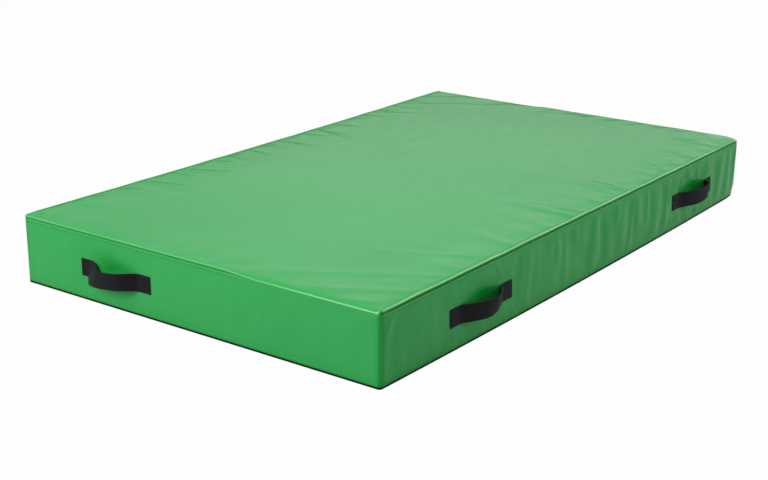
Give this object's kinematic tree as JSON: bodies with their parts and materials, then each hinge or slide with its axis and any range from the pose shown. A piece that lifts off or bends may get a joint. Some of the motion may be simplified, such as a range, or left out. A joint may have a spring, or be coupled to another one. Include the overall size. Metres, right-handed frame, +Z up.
{
  "type": "crash mat",
  "caption": "Thick rectangular foam crash mat in a seamed green vinyl cover with a rear zip, a black non-slip base and black webbing carrying handles on all sides.",
  "frame": {"origin": "on the floor, under the middle of the mat", "axes": "+Z up; +Y along the length, towards the zipped rear side; +X across the width, to the right seen from the front"},
  "size_m": [1.2802, 2.0906, 0.2],
  "materials": {
    "cover_vinyl": "satin green PVC-coated cloth, lightly wrinkled",
    "non_slip_base": "matt black non-slip cloth",
    "soft_foam": "open-cell foam",
    "firm_foam": "closed-cell foam",
    "webbing": "woven black webbing",
    "backing_cloth": "plain black cloth",
    "zip_tape": "woven black tape",
    "zip_teeth": "black nylon",
    "zip_steel": "plated steel"
  },
  "bodies": {
    "mat": {"foam_core": "soft_foam", "foam_landing_sheet": "firm_foam", "cover_top": "cover_vinyl", "cover_front": "cover_vinyl", "cover_right": "cover_vinyl", "cover_rear": "cover_vinyl", "cover_left": "cover_vinyl", "non_slip_base": "non_slip_base", "front_handle_left_end": "webbing", "front_handle_right_end": "webbing", "front_handle_backing_patch": "backing_cloth", "right_front_handle_left_end": "webbing", "right_front_handle_right_end": "webbing", "right_front_handle_backing_patch": "backing_cloth", "right_rear_handle_left_end": "webbing", "right_rear_handle_right_end": "webbing", "right_rear_handle_backing_patch": "backing_cloth", "rear_handle_left_end": "webbing", "rear_handle_right_end": "webbing", "rear_handle_backing_patch": "backing_cloth", "left_rear_handle_left_end": "webbing", "left_rear_handle_right_end": "webbing", "left_rear_handle_backing_patch": "backing_cloth", "left_front_handle_left_end": "webbing", "left_front_handle_right_end": "webbing", "left_front_handle_backing_patch": "backing_cloth", "zip_upper_tape": "zip_tape", "zip_lower_tape": "zip_tape", "zip_upper_teeth": "zip_teeth", "zip_lower_teeth": "zip_teeth", "zip_closed_end_stop": "zip_steel", "zip_open_end_stop": "zip_steel"},
    "front_handle_loop": {"front_handle_loop": "webbing"},
    "right_front_handle_loop": {"right_front_handle_loop": "webbing"},
    "right_rear_handle_loop": {"right_rear_handle_loop": "webbing"},
    "rear_handle_loop": {"rear_handle_loop": "webbing"},
    "left_rear_handle_loop": {"left_rear_handle_loop": "webbing"},
    "left_front_handle_loop": {"left_front_handle_loop": "webbing"},
    "zip_slider": {"zip_slider": "zip_steel"},
    "zip_puller": {"zip_puller": "zip_steel"}
  },
  "joints": [
    {"name": "front_handle_lift", "type": "hinge", "parent": "mat", "child": "front_handle_loop", "pos_m": [-0.25, -1.0013, 0.117], "axis": [-1, 0, 0], "range_deg": [0, 80]},
    {"name": "right_front_handle_lift", "type": "hinge", "parent": "mat", "child": "right_front_handle_loop", "pos_m": [0.60405, -0.583, 0.11203], "axis": [-0.0064, -1, 0], "range_deg": [0, 80]},
    {"name": "right_rear_handle_lift", "type": "hinge", "parent": "mat", "child": "right_rear_handle_loop", "pos_m": [0.60378, 0.636, 0.11203], "axis": [0.007, -1, 0], "range_deg": [0, 80]},
    {"name": "rear_handle_lift", "type": "hinge", "parent": "mat", "child": "rear_handle_loop", "pos_m": [0.25, 1.0013, 0.117], "axis": [1, 0, 0], "range_deg": [0, 80]},
    {"name": "left_rear_handle_lift", "type": "hinge", "parent": "mat", "child": "left_rear_handle_loop", "pos_m": [-0.60405, 0.583, 0.11203], "axis": [0.0064, 1, 0], "range_deg": [0, 80]},
    {"name": "left_front_handle_lift", "type": "hinge", "parent": "mat", "child": "left_front_handle_loop", "pos_m": [-0.60378, -0.636, 0.11203], "axis": [-0.007, 1, 0], "range_deg": [0, 80]},
    {"name": "zip_slide", "type": "slide", "parent": "mat", "child": "zip_slider", "axis": [1, 0, 0], "range_m": [0, 1.055]},
    {"name": "zip_puller_swing", "type": "hinge", "parent": "zip_slider", "child": "zip_puller", "pos_m": [-0.5275, 1.0045, 0.03], "axis": [0, 0, 1], "range_deg": [0, 170]}
  ]
}
